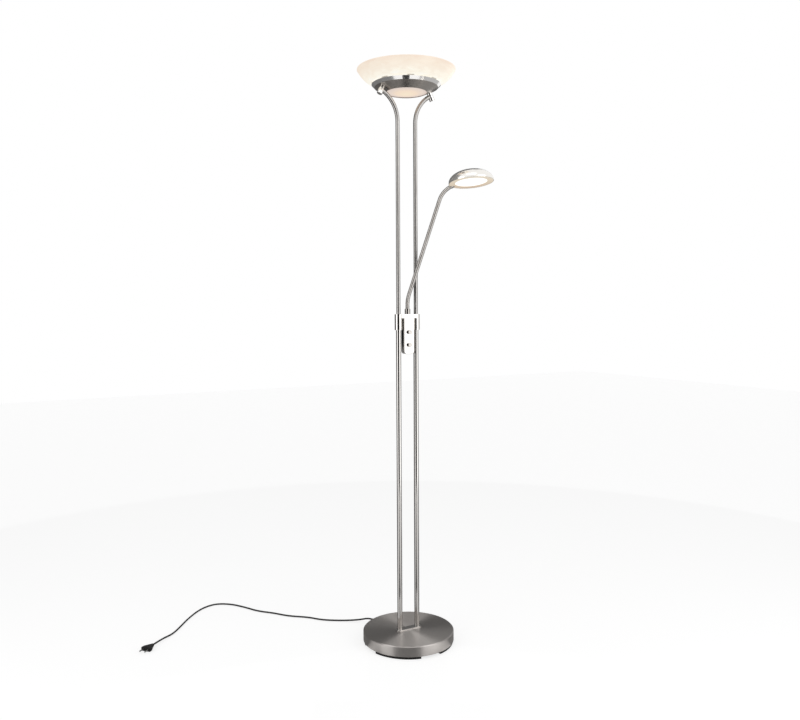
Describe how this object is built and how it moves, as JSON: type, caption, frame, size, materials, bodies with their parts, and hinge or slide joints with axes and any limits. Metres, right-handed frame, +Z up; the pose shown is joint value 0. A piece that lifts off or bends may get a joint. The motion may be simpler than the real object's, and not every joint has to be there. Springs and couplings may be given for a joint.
{
  "type": "torchiere floor lamp with reading light",
  "caption": "Floor uplighter on a round base with twin poles, a glass bowl, a dimmer box and a reading light on a flexible arm.",
  "frame": {"origin": "centre of the round base, on the floor", "axes": "+Z up; the two poles stand along X; the dimmer knobs face -Y and the mains cord leaves at +Y"},
  "size_m": [0.9954, 0.8191, 1.8],
  "materials": {
    "nickel": "brushed",
    "chrome": "polished",
    "steel": "plain",
    "iron": "rough",
    "alu": "plain",
    "white_paint": "gloss",
    "rubber": "matt",
    "black_plastic": "matt",
    "cord_black": "matt",
    "board": "satin",
    "led": "gloss",
    "opal": "satin",
    "glass": "frosted",
    "silicone": "matt"
  },
  "bodies": {
    "stand": {"foot_ring": "rubber", "base_plate": "steel", "base_cover": "nickel", "base_weight": "iron", "base_screws": "steel", "foot_plate": "chrome", "pole_studs": "steel", "stud_nuts": "steel", "lower_tubes": "chrome", "upper_tubes": "chrome", "uplight_lead": "cord_black", "mains_lead": "cord_black", "cross_bracket": "chrome", "bracket_set_screws": "steel", "control_box": "chrome", "control_back": "chrome", "box_screws": "steel", "dimmer_board": "board", "dimmer_pots": "steel", "collar": "nickel", "knuckles": "chrome", "collar_links": "steel", "lower_glass": "glass", "led_carrier": "alu", "uplight_heatsink": "alu", "uplight_board": "board", "uplight_leds": "led", "downlight_board": "board", "downlight_leds": "led", "glass_gasket": "silicone", "glass_clamp": "alu", "bowl_screws": "steel", "opal_cover": "opal", "glass_bowl": "glass", "glass_spacers": "silicone", "cord_gland": "black_plastic", "cord": "cord_black", "plug": "black_plastic", "plug_pins": "steel"},
    "upper_knob": {"upper_knob": "nickel", "upper_knob_shaft": "steel"},
    "lower_knob": {"lower_knob": "nickel", "lower_knob_shaft": "steel"},
    "arm_base": {"gooseneck_socket": "nickel", "gooseneck_nipple": "steel", "nipple_nut": "steel", "hose_root": "chrome", "hose_bend_low": "chrome"},
    "arm_lower": {"hose_lower_run": "chrome", "hose_bend_mid": "chrome"},
    "arm_upper": {"hose_upper_run": "chrome", "hose_bend_high": "chrome"},
    "reading_head": {"hose_tip": "chrome", "head_neck": "nickel", "head_shell": "white_paint", "head_bezel": "opal", "head_diffuser": "opal", "reading_leds": "led", "head_led_board": "board", "head_heatsink": "alu"}
  },
  "joints": [
    {"name": "upper_knob_turn", "type": "hinge", "parent": "stand", "child": "upper_knob", "pos_m": [0, -0.017, 0.993], "axis": [0, -1, 0], "range_deg": [-150, 150]},
    {"name": "lower_knob_turn", "type": "hinge", "parent": "stand", "child": "lower_knob", "pos_m": [0, -0.017, 0.953], "axis": [0, -1, 0], "range_deg": [-150, 150]},
    {"name": "arm_swivel", "type": "hinge", "parent": "stand", "child": "arm_base", "pos_m": [0, -0.002, 1.049], "axis": [0, 0, 1], "range_deg": [-124, 5]},
    {"name": "arm_bend_low", "type": "hinge", "parent": "arm_base", "child": "arm_lower", "pos_m": [0.0023, -0.00338, 1.10196], "axis": [0.515, 0.8572, 0], "range_deg": [-10, 35], "deforming": ["hose_bend_low"]},
    {"name": "arm_bend_mid", "type": "hinge", "parent": "arm_lower", "child": "arm_upper", "pos_m": [0.04669, -0.03005, 1.26108], "axis": [-0.515, -0.8572, 0], "range_deg": [-35, 20], "deforming": ["hose_bend_mid"]},
    {"name": "arm_bend_high", "type": "hinge", "parent": "arm_upper", "child": "reading_head", "pos_m": [0.09354, -0.05821, 1.41903], "axis": [0.515, 0.8572, 0], "range_deg": [-40, 35], "deforming": ["hose_bend_high"]}
  ]
}
